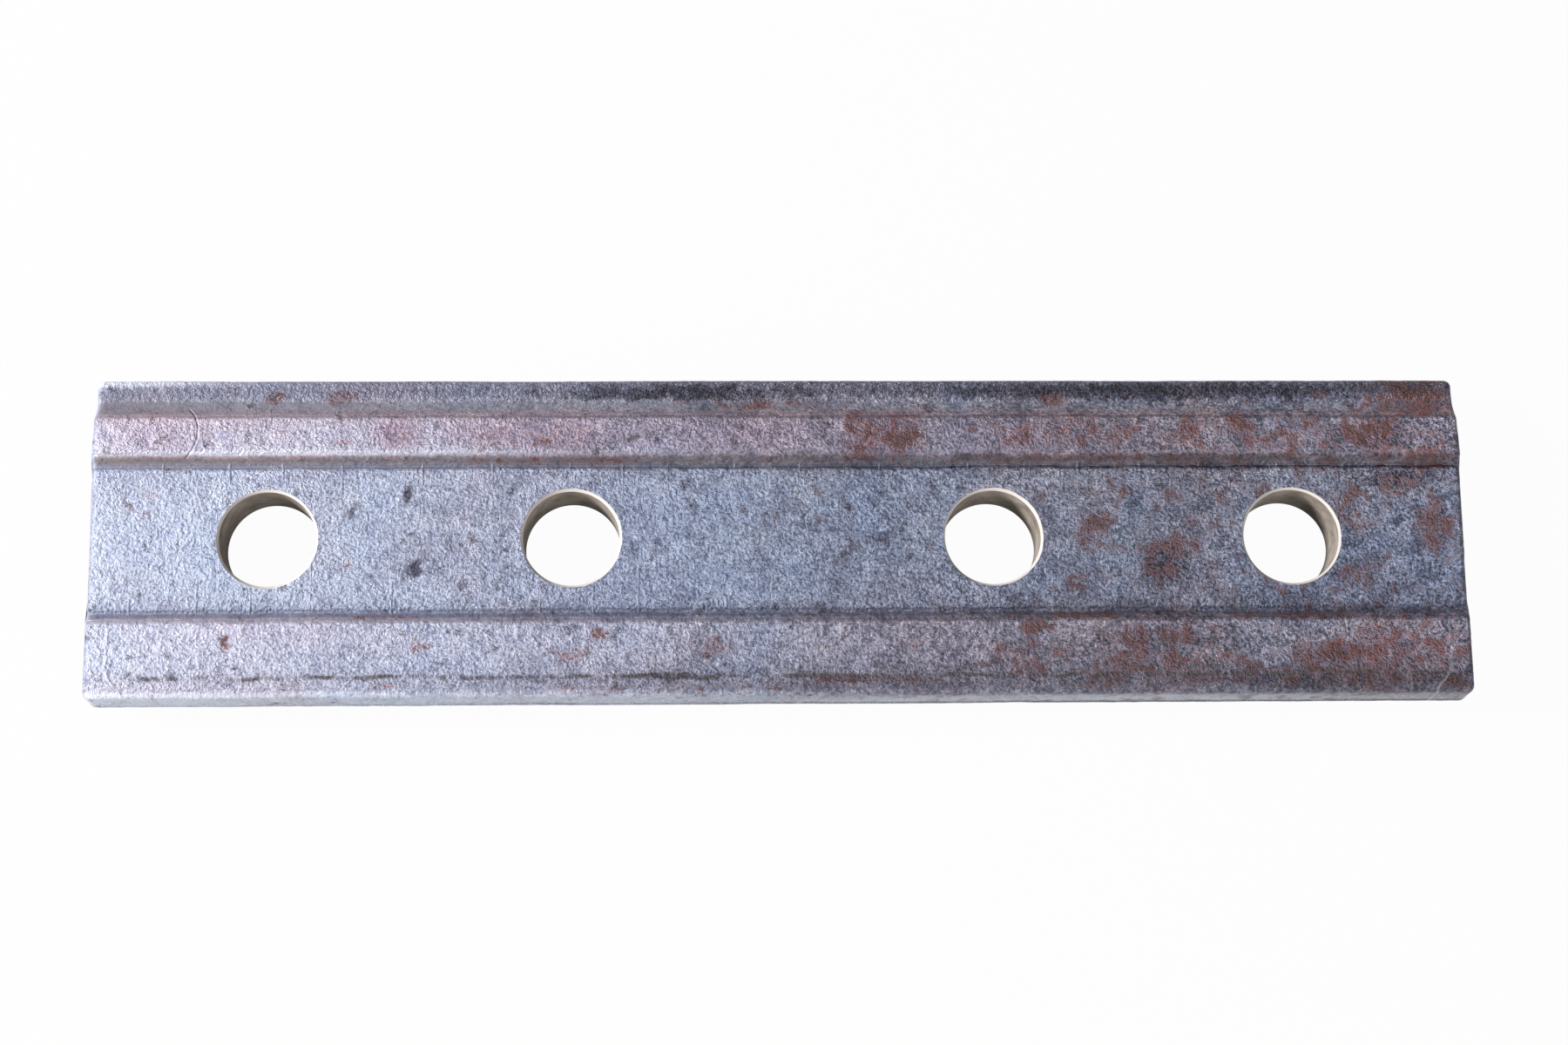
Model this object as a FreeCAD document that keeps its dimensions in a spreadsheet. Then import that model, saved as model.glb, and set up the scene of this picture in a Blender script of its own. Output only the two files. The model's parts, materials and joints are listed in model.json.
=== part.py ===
import FreeCAD, Part
import math
import os
import Sketcher

# A four-hole rail fishplate, the forged steel bar that bridges a joint between two rails.
# It lies on its rail side with its outer face up: X runs along the rail, Y up the height of
# the plate and Z out from the rail. The section is drawn about the line of the bolt holes.

# Every driving dimension: alias, value (millimetres, degrees or a ratio) and what it is.
DIMENSIONS = (
    ("inner_spacing", 140.0, "distance between the two holes beside the joint"),
    ("outer_pitch", 100.0, "distance from an inner hole to its outer neighbour"),
    ("end_distance", 58.5, "distance from an outer hole to the cut end of the bar"),
    ("hole_diameter", 32.0, "diameter of the bolt holes"),
    ("hole_chamfer", 0.8, "chamfer at both mouths of each bolt hole"),
    ("fishing_height", 100.5, "distance between the fishing faces, measured at the rail side"),
    ("fishing_slope", 2.75, "travel along Z for each millimetre that a fishing face spreads"),
    ("land_width", 6.8, "width of the bearing lands on the rail side"),
    ("hollow_depth", 2.0, "depth of the shallow hollow between the lands"),
    ("hollow_angle", 30.0, "angle of the hollow's flanks to the lands"),
    ("web_thickness", 20.0, "thickness of the web that the bolts go through"),
    ("channel_width", 50.4, "width of the bolt-head channel at the web"),
    ("step_angle", 50.0, "angle of the channel's flanks to the web"),
    ("band_rise", 2.5, "height of the upper band above the web"),
    ("band_fall", 2.2, "fall of the band's face from the channel to the cove"),
    ("lip_setback", 4.0, "depth of the upper lip below the web"),
    ("lip_width", 14.75, "distance from the band to the upper edge of the lip"),
    ("cove_angle", 45.0, "angle at which the cove leaves the band"),
    ("flange_rise", 2.0, "height of the lower flange above the web"),
    ("toe_level", 11.0, "height above the rail side where the lower fishing face ends"),
    ("toe_draft", 0.8, "draft over the trimmed toe of the flange"),
    ("edge_radius", 2.6, "rounding of the bar's outer lengthwise edges"),
    ("channel_radius", 2.0, "fillet in the two corners of the bolt-head channel"),
    ("cove_radius", 10.0, "radius of the cove under the lip"),
    ("hollow_radius", 3.0, "blend at the edges of the rail-side hollow"),
    ("rail_corner_radius", 4.0, "rounding of the corners that clear the fillets of the rail"),
    ("end_radius", 2.5, "rounding of the edges round both cut ends"),
)

# Expressions that several features or corners of the section share.
PLATE_LENGTH = "dims.inner_spacing + 2 * (dims.outer_pitch + dims.end_distance)"
FISHING_HALF = "dims.fishing_height / 2"
LAND_EDGE = f"{FISHING_HALF} - dims.land_width"
HOLLOW_EDGE = f"{LAND_EDGE} - dims.hollow_depth / tan(dims.hollow_angle)"
CHANNEL_HALF = "dims.channel_width / 2"
WEB_LEVEL = "(dims.hollow_depth + dims.web_thickness)"
BAND_FOOT = f"{CHANNEL_HALF} + dims.band_rise / tan(dims.step_angle)"
BAND_LEVEL = f"{WEB_LEVEL} + dims.band_rise"
ARRIS_LEVEL = f"{BAND_LEVEL} - dims.band_fall"
LIP_LEVEL = f"{WEB_LEVEL} - dims.lip_setback"
LIP_EDGE = f"{FISHING_HALF} + ({LIP_LEVEL}) / dims.fishing_slope"
BAND_HEAD = f"{LIP_EDGE} - dims.lip_width"
COVE_DROP = "(dims.band_rise - dims.band_fall + dims.lip_setback)"
FLANGE_HEAD = f"{CHANNEL_HALF} + dims.flange_rise / tan(dims.step_angle)"
FLANGE_LEVEL = f"{WEB_LEVEL} + dims.flange_rise"
TOE_EDGE = f"{FISHING_HALF} + dims.toe_level / dims.fishing_slope"

# The sharp corners of the section in order round it: name, place along Y, place along Z.
SECTION = (
    ("lower_rail_corner", f"-({FISHING_HALF})", "0"),
    ("lower_land_edge", f"-({LAND_EDGE})", "0"),
    ("lower_hollow_edge", f"-({HOLLOW_EDGE})", "dims.hollow_depth"),
    ("upper_hollow_edge", HOLLOW_EDGE, "dims.hollow_depth"),
    ("upper_land_edge", LAND_EDGE, "0"),
    ("upper_rail_corner", FISHING_HALF, "0"),
    ("lip", LIP_EDGE, LIP_LEVEL),
    ("cove", f"{BAND_HEAD} + {COVE_DROP} / tan(dims.cove_angle)", LIP_LEVEL),
    ("band_arris", BAND_HEAD, ARRIS_LEVEL),
    ("band_crown", BAND_FOOT, BAND_LEVEL),
    ("upper_channel_corner", CHANNEL_HALF, WEB_LEVEL),
    ("lower_channel_corner", f"-({CHANNEL_HALF})", WEB_LEVEL),
    ("flange_crown", f"-({FLANGE_HEAD})", FLANGE_LEVEL),
    ("toe_front", f"-({TOE_EDGE} - dims.toe_draft)", FLANGE_LEVEL),
    ("toe_back", f"-({TOE_EDGE})", "dims.toe_level"),
)

# The lengthwise edges that one radius rounds: feature name, radius alias, corners.
ROUNDINGS = (
    ("channel_fillets", "channel_radius", ("upper_channel_corner", "lower_channel_corner")),
    ("outer_edges", "edge_radius", ("lip", "band_arris", "band_crown", "flange_crown", "toe_front")),
    ("cove_sweep", "cove_radius", ("cove",)),
    (
        "hollow_blends",
        "hollow_radius",
        ("lower_land_edge", "lower_hollow_edge", "upper_hollow_edge", "upper_land_edge"),
    ),
    ("rail_corners", "rail_corner_radius", ("lower_rail_corner", "upper_rail_corner")),
)

# How close two computed places must be to count as the same.
TOLERANCE = 1e-4


def dimension_sheet(doc):
    """Fill the spreadsheet that drives the whole plate."""
    sheet = doc.addObject("Spreadsheet::Sheet", "dims")
    for row, (alias, value, meaning) in enumerate(DIMENSIONS, start=1):
        sheet.set(f"A{row}", meaning)
        sheet.set(f"B{row}", str(value))
        sheet.setAlias(f"B{row}", alias)
    doc.recompute()
    return sheet


def origin_feature(body, role):
    """One of the body's own origin planes or axes."""
    for feature in body.Origin.OriginFeatures:
        if feature.Role == role:
            return feature
    raise RuntimeError(f"{body.Label} has no {role}")


def plane_sketch(body, role, name):
    """An empty sketch on one of the body's origin planes."""
    sketch = body.newObject("Sketcher::SketchObject", name)
    sketch.AttachmentSupport = (origin_feature(body, role), [""])
    sketch.MapMode = "FlatFace"
    return sketch


def bind(sketch, constraint, name, expression):
    """Add one named constraint to a sketch and tie its value to the sheet."""
    index = sketch.addConstraint(constraint)
    sketch.renameConstraint(index, name)
    sketch.setExpression(f"Constraints.{name}", expression)


def section_sketch(body, sheet):
    """The closed outline of the section, each corner placed from the line of the holes.

    The corners start evenly round a circle, and their constraints pull them into place.
    """
    sketch = plane_sketch(body, "YZ_Plane", "section")
    count = len(SECTION)
    reach = float(sheet.fishing_height) / 2
    starts = []
    for index in range(count):
        turn = 2 * math.pi * index / count
        starts.append(FreeCAD.Vector(reach * math.cos(turn), reach * math.sin(turn), 0))
    for index in range(count):
        sketch.addGeometry(Part.LineSegment(starts[index], starts[(index + 1) % count]), False)
    for index in range(count):
        sketch.addConstraint(Sketcher.Constraint("Coincident", index, 2, (index + 1) % count, 1))
    for index, (name, across, level) in enumerate(SECTION):
        place = starts[index]
        bind(sketch, Sketcher.Constraint("DistanceX", -1, 1, index, 1, place.x), f"{name}_y", across)
        bind(sketch, Sketcher.Constraint("DistanceY", -1, 1, index, 1, place.y), f"{name}_z", level)
    return sketch


def corner_places(sketch):
    """Each named corner of the solved section as (y, z)."""
    places = {}
    for index, (name, _, _) in enumerate(SECTION):
        point = sketch.getPoint(index, 1)
        places[name] = (point.x, point.y)
    return places


def bar(body, section):
    """The section drawn out along the rail, half to each side of the joint."""
    pad = body.newObject("PartDesign::Pad", "bar")
    pad.Profile = section
    pad.SideType = "Symmetric"
    pad.setExpression("Length", PLATE_LENGTH)
    return pad


def lengthwise_edges(shape, places):
    """Names of the straight edges along X that start at one of the given (y, z) places."""
    names = []
    for number, edge in enumerate(shape.Edges, start=1):
        first, last = edge.firstVertex().Point, edge.lastVertex().Point
        along_x = abs(first.y - last.y) < TOLERANCE and abs(first.z - last.z) < TOLERANCE
        if along_x and any(math.hypot(first.y - y, first.z - z) < TOLERANCE for y, z in places):
            names.append(f"Edge{number}")
    if len(names) != len(places):
        raise RuntimeError(f"found {len(names)} lengthwise edges for {len(places)} corners")
    return names


def round_corners(body, base, name, radius, places):
    """Round the lengthwise edges at the given corners with one radius from the sheet."""
    fillet = body.newObject("PartDesign::Fillet", name)
    fillet.Base = (base, lengthwise_edges(base.Shape, places))
    fillet.setExpression("Radius", f"dims.{radius}")
    body.Document.recompute()
    return fillet


def hole_sketch(body, sheet):
    """The two bolt holes on the +X side of the joint, on the line that halves the channel."""
    sketch = plane_sketch(body, "XY_Plane", "hole_centres")
    width = float(sheet.hole_diameter)
    centres = (
        ("inner", "dims.inner_spacing / 2"),
        ("outer", "dims.inner_spacing / 2 + dims.outer_pitch"),
    )
    for index, (name, distance) in enumerate(centres):
        start = FreeCAD.Vector(2 * width * (index + 1), 0, 0)
        sketch.addGeometry(Part.Circle(start, FreeCAD.Vector(0, 0, 1), width / 2), False)
        sketch.addConstraint(Sketcher.Constraint("PointOnObject", index, 3, -1))
        bind(sketch, Sketcher.Constraint("DistanceX", -1, 1, index, 3, start.x), f"{name}_place", distance)
        diameter = Sketcher.Constraint("Diameter", index, width)
        bind(sketch, diameter, f"{name}_diameter", "dims.hole_diameter")
    return sketch


def bolt_holes(body, base, sheet):
    """Drill both holes of one side through the web and mirror them across the joint."""
    doc = body.Document
    pocket = body.newObject("PartDesign::Pocket", "bolt_holes")
    pocket.Profile = hole_sketch(body, sheet)
    pocket.Type = "ThroughAll"
    pocket.Reversed = True
    doc.recompute()
    if pocket.Shape.Volume > base.Shape.Volume - TOLERANCE:
        raise RuntimeError("the bolt holes cut nothing")
    mirror = body.newObject("PartDesign::Mirrored", "bolt_holes_both_sides")
    mirror.Originals = [pocket]
    mirror.MirrorPlane = (origin_feature(body, "YZ_Plane"), [""])
    body.Tip = mirror
    doc.recompute()
    return mirror


def hole_mouths(shape, radius):
    """Names of the circular edges where the bolt holes meet the two faces of the web."""
    names = []
    for number, edge in enumerate(shape.Edges, start=1):
        if isinstance(edge.Curve, Part.Circle) and edge.isClosed():
            if abs(edge.Curve.Radius - radius) < TOLERANCE:
                names.append(f"Edge{number}")
    return names


def chamfer_mouths(body, base, sheet):
    """Break the sharp mouth of every bolt hole."""
    chamfer = body.newObject("PartDesign::Chamfer", "hole_chamfers")
    chamfer.Base = (base, hole_mouths(base.Shape, float(sheet.hole_diameter) / 2))
    chamfer.setExpression("Size", "dims.hole_chamfer")
    body.Document.recompute()
    return chamfer


def end_edges(shape, length):
    """Names of the edges round the two cut ends."""
    names = []
    for number, edge in enumerate(shape.Edges, start=1):
        box = edge.BoundBox
        if box.XLength < TOLERANCE and abs(abs(box.XMin) - length / 2) < TOLERANCE:
            names.append(f"Edge{number}")
    return names


def round_ends(body, base, length):
    """Round the edges of both cut ends, by no more than the section's own rounding."""
    fillet = body.newObject("PartDesign::Fillet", "end_rounding")
    fillet.Base = (base, end_edges(base.Shape, length))
    fillet.setExpression("Radius", "min(dims.end_radius; dims.edge_radius)")
    body.Document.recompute()
    return fillet


def fishplate(doc, sheet):
    """The whole plate as one body."""
    body = doc.addObject("PartDesign::Body", "fishplate")
    body.Label = "fishplate"
    section = section_sketch(body, sheet)
    doc.recompute()
    places = corner_places(section)
    feature = bar(body, section)
    doc.recompute()
    length = feature.Length.Value
    for name, radius, corners in ROUNDINGS:
        feature = round_corners(body, feature, name, radius, [places[corner] for corner in corners])
    feature = bolt_holes(body, feature, sheet)
    feature = chamfer_mouths(body, feature, sheet)
    round_ends(body, feature, length)
    centre = body.Shape.BoundBox.Center
    body.Placement = FreeCAD.Placement(FreeCAD.Vector(0, -centre.y, 0), FreeCAD.Rotation())
    doc.recompute()
    return body


def check(doc, body):
    """Stop before anything is written if a feature failed or the solid is not sound."""
    for item in doc.Objects:
        if "Invalid" in item.State or "Error" in item.State:
            raise RuntimeError(f"{item.Label} failed: {item.State}")
    if body.Shape.isNull() or not body.Shape.isValid() or len(body.Shape.Solids) != 1:
        raise RuntimeError(f"{body.Label} is not one sound solid")


def main():
    doc = FreeCAD.newDocument("rail_fishplate")
    sheet = dimension_sheet(doc)
    body = fishplate(doc, sheet)
    check(doc, body)
    os.makedirs("parts", exist_ok=True)
    body.Shape.exportStep(f"parts/{body.Label}.step")
    box = body.Shape.BoundBox
    print(f"{body.Label}: {box.XLength:.2f} x {box.YLength:.2f} x {box.ZLength:.2f} mm")
    print(f"volume {body.Shape.Volume:.0f} mm3, hole line at y {body.Placement.Base.y:.3f}")


main()
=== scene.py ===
import json
import math

import bmesh
import bpy
import numpy as np
from bpy.props import FloatProperty, FloatVectorProperty, PointerProperty
from mathutils import Matrix, Vector


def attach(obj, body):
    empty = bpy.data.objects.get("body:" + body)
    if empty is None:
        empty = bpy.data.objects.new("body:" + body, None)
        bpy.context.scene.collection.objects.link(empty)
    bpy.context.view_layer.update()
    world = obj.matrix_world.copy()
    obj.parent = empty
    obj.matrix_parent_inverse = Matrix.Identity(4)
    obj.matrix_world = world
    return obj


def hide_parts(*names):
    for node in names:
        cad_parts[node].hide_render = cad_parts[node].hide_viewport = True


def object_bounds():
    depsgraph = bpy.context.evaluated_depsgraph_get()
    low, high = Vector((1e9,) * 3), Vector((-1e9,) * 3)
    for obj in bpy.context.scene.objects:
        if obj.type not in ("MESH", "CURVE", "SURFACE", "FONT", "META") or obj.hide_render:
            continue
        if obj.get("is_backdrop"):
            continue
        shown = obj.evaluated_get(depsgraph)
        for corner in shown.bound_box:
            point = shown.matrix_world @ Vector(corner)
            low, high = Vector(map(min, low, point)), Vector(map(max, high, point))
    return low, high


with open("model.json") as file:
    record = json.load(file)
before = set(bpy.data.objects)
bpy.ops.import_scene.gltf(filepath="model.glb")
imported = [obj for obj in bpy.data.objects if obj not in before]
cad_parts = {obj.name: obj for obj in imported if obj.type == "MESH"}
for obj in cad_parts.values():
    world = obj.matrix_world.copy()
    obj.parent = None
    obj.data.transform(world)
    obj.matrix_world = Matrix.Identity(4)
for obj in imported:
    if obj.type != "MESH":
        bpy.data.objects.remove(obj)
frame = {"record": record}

# A rail fishplate in hot-forged steel. It lies on its rail side, its outer face up: X runs along
# the rail, Y up the height of the plate and Z out from the rail.

bl_info = {
    "name": "Rail Fishplate",
    "version": (1, 0, 0),
    "blender": (4, 5, 0),
    "location": "View3D > Sidebar > Fishplate",
    "description": "Builds a forged four-hole rail fishplate and the studio that it is shown in",
    "category": "Add Mesh",
}

MM = 0.001
NODE = "fishplate"
BODY = "root"
PIECE = "forged_plate"
MARKS = "marks"

# Two points nearer than this are one point.
CLOSE = 0.01 * MM
# A point lower than the first level is on the rail side, one higher than the second on the outer face.
RAIL_SIDE, OUTER_SIDE = 3 * MM, 14 * MM
# Length of a facet on the bends of the section, and facets across an end's rounding and round a hole.
BEND_FACET = 0.75 * MM
END_FACETS, HOLE_FACETS = 4, 112
# Each ring of faces on a cut end, as a share of the ring outside it.
CAP_RINGS = (0.985, 0.93, 0.87, 0.8, 0.7, 0.5)
# Faces that meet at less than this angle are shaded as one surface.
SMOOTH_ANGLE = math.radians(38)

CAD_LOW, CAD_HIGH = (Vector(corner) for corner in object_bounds())
HOLES = [mount for mount in frame["record"]["mounts"] if mount["kind"] == "bore"]
HOLE_LINE = HOLES[0]["pos_m"][1]
HOLE_RADIUS = HOLES[0]["dims"]["r_mm"] * MM


def linear(code):
    """The linear colour of an sRGB hex value such as '#8a8f9e'."""
    channels = [int(code[start : start + 2], 16) / 255 for start in (1, 3, 5)]
    lit = [c / 12.92 if c <= 0.04045 else ((c + 0.055) / 1.055) ** 2.4 for c in channels]
    return (*lit, 1.0)


# ---- What a user would change ----


def length(name, description, default):
    """A length property, its default given in metres."""
    return FloatProperty(
        name=name, description=description, default=default, min=0.0, unit="LENGTH", precision=5
    )


def angle(name, description, degrees):
    """An angle property, its default given in degrees."""
    return FloatProperty(
        name=name, description=description, default=math.radians(degrees), subtype="ANGLE"
    )


def steel_colour(name, description, code):
    """A colour property, its default given as an sRGB hex value."""
    return FloatVectorProperty(
        name=name, description=description, subtype="COLOR", size=4, default=linear(code), min=0, max=1
    )


def point(name, description, default):
    """A place in the scene, its default given in metres."""
    return FloatVectorProperty(
        name=name, description=description, subtype="TRANSLATION", size=3, default=default
    )


class FishplateSizes(bpy.types.PropertyGroup):
    """The sizes of the bar's section, of its holes and of its mesh."""

    fishing_half: length("Fishing half-height", "Hole line to a fishing face at the rail side", 50.25 * MM)
    fishing_slope: FloatProperty(
        name="Fishing slope", description="Travel along Z for each unit of spread", default=2.75
    )
    land_width: length("Land width", "Bearing lands on the rail side", 6.8 * MM)
    hollow_depth: length("Hollow depth", "Hollow between the lands", 2.0 * MM)
    hollow_angle: angle("Hollow angle", "Slope of its flanks", 30)
    web_level: length("Web level", "Outer face of the web above the rail side", 22.0 * MM)
    channel_half: length("Channel half-width", "Hole line to the foot of a channel flank", 25.2 * MM)
    step_angle: angle("Step angle", "Slope of the channel flanks", 50)
    band_rise: length("Band rise", "Upper band above the web", 2.5 * MM)
    band_fall: length("Band fall", "Fall of the band towards the cove", 2.2 * MM)
    lip_setback: length("Lip setback", "Upper lip below the web", 4.0 * MM)
    lip_width: length("Lip width", "Band to the upper edge of the lip", 14.75 * MM)
    flange_rise: length("Flange rise", "Lower flange above the web", 2.0 * MM)
    toe_level: length("Toe level", "Height at which the lower fishing face ends", 11.0 * MM)
    toe_draft: length("Toe draft", "Lean of the trimmed toe", 0.8 * MM)
    edge_radius: length("Edge radius", "Rounding of the outer lengthwise edges", 2.6 * MM)
    channel_radius: length("Channel radius", "Fillets in the corners of the channel", 2.0 * MM)
    cove_radius: length("Cove radius", "Sweep of the cove under the lip", 10.0 * MM)
    hollow_radius: length("Hollow radius", "Blends of the hollow", 3.0 * MM)
    rail_corner_radius: length("Rail corner radius", "Corners that clear the rail", 4.0 * MM)
    end_radius: length("End radius", "Rounding round both cut ends", 2.5 * MM)
    hole_chamfer: length("Hole chamfer", "Chamfer at both mouths of a bolt hole", 0.8 * MM)
    front_step: length("Front mesh step", "Spacing of the mesh on the outer face", 1.15 * MM)
    back_step: length("Back mesh step", "Spacing of the mesh on the rail side", 2.2 * MM)


class FishplateFinish(bpy.types.PropertyGroup):
    """The colours of the steel."""

    # The darkest stop of the worn scale: painted shade in its pits.
    scale_dark: steel_colour("Scale, dark", "Pits in the mill scale", "#33323c")
    scale_mid: steel_colour("Scale, middle", "Body of the mill scale", "#bbc0cc")
    # Painted highlight colour, for the edges, the die ridges and the shear burrs.
    scale_pale: steel_colour("Scale, pale", "Rubbed scale, ridges and burrs", "#d8ddea")
    rust: steel_colour("Rust", "Thin red-brown rust", "#8d5b5a")
    fleck: steel_colour("Fleck", "Fresh orange rust in flecks", "#a87052")
    bore: steel_colour("Bore", "Drilled steel in the bolt holes", "#8a8178")


class FishplateStudio(bpy.types.PropertyGroup):
    """Where the camera stands and how it looks, and how strong the lamps are."""

    camera_place: point("Camera place", "Place of the lens", (-0.030, -0.205, 0.872))
    camera_aim: point("Camera aim", "Point that the lens looks at", (0.0, -0.038, 0.022))
    lens: FloatProperty(
        name="Lens", description="Focal length on a 36 mm sensor, in millimetres", default=60.5
    )
    rise: FloatProperty(name="Lens rise", description="Vertical shift of the lens", default=0.0798)
    camera_roll: angle("Camera roll", "Turn about the view axis", 0.26)
    key_power: FloatProperty(
        name="Key power", description="Soft box at the left, in watts", default=54.0, unit="POWER"
    )
    fill_power: FloatProperty(
        name="Fill power", description="Wide panel in front, in watts", default=15.0, unit="POWER"
    )


# ---- Modelling ----


def section_corners(sizes):
    """The sharp corners of the section as (y, z, radius), in order round it, in metres."""
    half = sizes.fishing_half
    land = half - sizes.land_width
    hollow = land - sizes.hollow_depth / math.tan(sizes.hollow_angle)
    lip_level = sizes.web_level - sizes.lip_setback
    lip_edge = half + lip_level / sizes.fishing_slope
    band_head = lip_edge - sizes.lip_width
    band_level = sizes.web_level + sizes.band_rise
    arris_level = band_level - sizes.band_fall
    flange_level = sizes.web_level + sizes.flange_rise
    toe_edge = half + sizes.toe_level / sizes.fishing_slope
    steep = math.tan(sizes.step_angle)
    corners = (
        (-half, 0, sizes.rail_corner_radius),
        (-land, 0, sizes.hollow_radius),
        (-hollow, sizes.hollow_depth, sizes.hollow_radius),
        (hollow, sizes.hollow_depth, sizes.hollow_radius),
        (land, 0, sizes.hollow_radius),
        (half, 0, sizes.rail_corner_radius),
        (lip_edge, lip_level, sizes.edge_radius),
        (band_head + arris_level - lip_level, lip_level, sizes.cove_radius),
        (band_head, arris_level, sizes.edge_radius),
        (sizes.channel_half + sizes.band_rise / steep, band_level, sizes.edge_radius),
        (sizes.channel_half, sizes.web_level, sizes.channel_radius),
        (-sizes.channel_half, sizes.web_level, sizes.channel_radius),
        (-sizes.channel_half - sizes.flange_rise / steep, flange_level, sizes.edge_radius),
        (sizes.toe_draft - toe_edge, flange_level, sizes.edge_radius),
        (-toe_edge, sizes.toe_level, 0),
    )
    return [(y + HOLE_LINE, z, radius) for y, z, radius in corners]


def select_only(mesh, kind, test):
    """In edit mode, select just those vertices, edges or faces that pass the test."""
    bpy.ops.mesh.select_all(action="DESELECT")
    bm = bmesh.from_edit_mesh(mesh)
    bm.select_mode = {{"verts": "VERT", "edges": "EDGE", "faces": "FACE"}[kind]}
    for element in getattr(bm, kind):
        if test(element):
            element.select = True
    bm.select_flush_mode()
    bmesh.update_edit_mesh(mesh)


def turn_at(before, corner, after):
    """The angle by which an outline turns at a corner."""
    first = Vector(corner[:2]) - Vector(before[:2])
    second = Vector(after[:2]) - Vector(corner[:2])
    return first.angle(second)


def draw_section(sizes):
    """The rounded outline of the section, as a ring of edges at the left end of the bar."""
    corners = section_corners(sizes)
    bpy.ops.mesh.primitive_circle_add(vertices=len(corners), radius=HOLE_RADIUS, fill_type="NOTHING")
    bar = bpy.context.object
    for vertex, (y, z, _) in zip(bar.data.vertices, corners):
        vertex.co = (CAD_LOW.x, y, z)
    bpy.ops.object.mode_set(mode="EDIT")
    bpy.ops.mesh.select_mode(type="VERT")
    for index, corner in enumerate(corners):
        if corner[2] == 0:
            continue
        turn = turn_at(corners[index - 1], corner, corners[(index + 1) % len(corners)])
        place = Vector((CAD_LOW.x, corner[0], corner[1]))
        select_only(bar.data, "verts", lambda v: (v.co - place).length < CLOSE)
        arc_steps = max(2, round(corner[2] * turn / BEND_FACET))
        bpy.ops.mesh.bevel(affect="VERTICES", offset=corner[2] * math.tan(turn / 2), segments=arc_steps)
    divide_runs(bar.data, sizes)
    return bar


def middle_of(edge):
    """The middle of an edge."""
    return (edge.verts[0].co + edge.verts[1].co) / 2


def divide_runs(mesh, sizes):
    """Divide the straight runs of the outline, finely outside and more widely on the rail side."""
    bm = bmesh.from_edit_mesh(mesh)
    runs = [(middle_of(edge), (edge.verts[1].co - edge.verts[0].co).length) for edge in bm.edges]
    for middle, run in runs:
        step = sizes.back_step if middle.z < RAIL_SIDE else sizes.front_step
        cuts = math.ceil(run / step - 0.2) - 1
        if cuts > 0:
            select_only(mesh, "edges", lambda e: (middle_of(e) - middle).length < CLOSE)
            bpy.ops.mesh.subdivide(number_cuts=cuts)


def is_cap(face):
    """Whether a face has more than four sides, as only the caps of the bar and of a drill have."""
    return len(face.verts) > 4


def roll_bar(sizes):
    """Draw the section out to the length of the plate, round its cut ends, close them with rings of
    faces and divide the bar along X."""
    bar = draw_section(sizes)
    mesh = bar.data
    bpy.ops.mesh.select_all(action="SELECT")
    bpy.ops.mesh.edge_face_add()
    span = CAD_HIGH.x - CAD_LOW.x
    bpy.ops.mesh.extrude_region_move(TRANSFORM_OT_translate={"value": (span, 0, 0)})
    bpy.ops.mesh.select_all(action="SELECT")
    bpy.ops.mesh.normals_make_consistent(inside=False)

    def reach(edge):
        return abs(edge.verts[0].co.x - edge.verts[1].co.x)

    select_only(mesh, "edges", lambda e: reach(e) < CLOSE)
    bpy.ops.mesh.bevel(affect="EDGES", offset=sizes.end_radius, segments=END_FACETS)
    half_way = (CAD_LOW.z + CAD_HIGH.z) / 2
    for end in (CAD_LOW.x, CAD_HIGH.x):
        select_only(mesh, "faces", lambda f: is_cap(f) and abs(f.calc_center_median().x - end) < CLOSE)
        for size in CAP_RINGS:
            bpy.ops.mesh.extrude_region_move()
            bpy.ops.transform.resize(value=(1, size, size), center_override=(end, 0, half_way))
    cuts = round((span - 2 * sizes.end_radius) / sizes.front_step)
    select_only(mesh, "edges", lambda e: reach(e) > span / 2)
    bpy.ops.mesh.subdivide_edgering(number_cuts=cuts, interpolation="LINEAR")
    bpy.ops.object.mode_set(mode="OBJECT")
    return bar


def displace(bar, name, basis, size, depth, octaves):
    """Roughen the surface by a cloud texture of the given grain, over the given depth."""
    texture = bpy.data.textures.new(name, "CLOUDS")
    texture.noise_basis = basis
    texture.noise_scale = size
    texture.noise_depth = octaves
    bpy.ops.object.modifier_add(type="DISPLACE")
    modifier = bar.modifiers[-1]
    modifier.texture = texture
    modifier.texture_coords = "LOCAL"
    modifier.mid_level = 0.5
    modifier.strength = depth
    bpy.ops.object.modifier_apply(modifier=modifier.name)


# What forging leaves: name, noise, its size and depth in millimetres, and octaves.
FORGING = (
    ("hammer_waves", "ORIGINAL_PERLIN", 40, 0.50, 1),
    ("scale_lumps", "ORIGINAL_PERLIN", 9, 0.30, 2),
    ("scale_pits", "VORONOI_F2_F1", 4.5, 0.16, 1),
)


def forge_surface(bar):
    """Hammer the bar's surface, and keep it inside the box of the solid."""
    for name, basis, size, depth, octaves in FORGING:
        displace(bar, name, basis, size * MM, depth * MM, octaves)
    for vertex in bar.data.vertices:
        vertex.co = [min(max(c, low), high) for c, low, high in zip(vertex.co, CAD_LOW, CAD_HIGH)]


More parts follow.
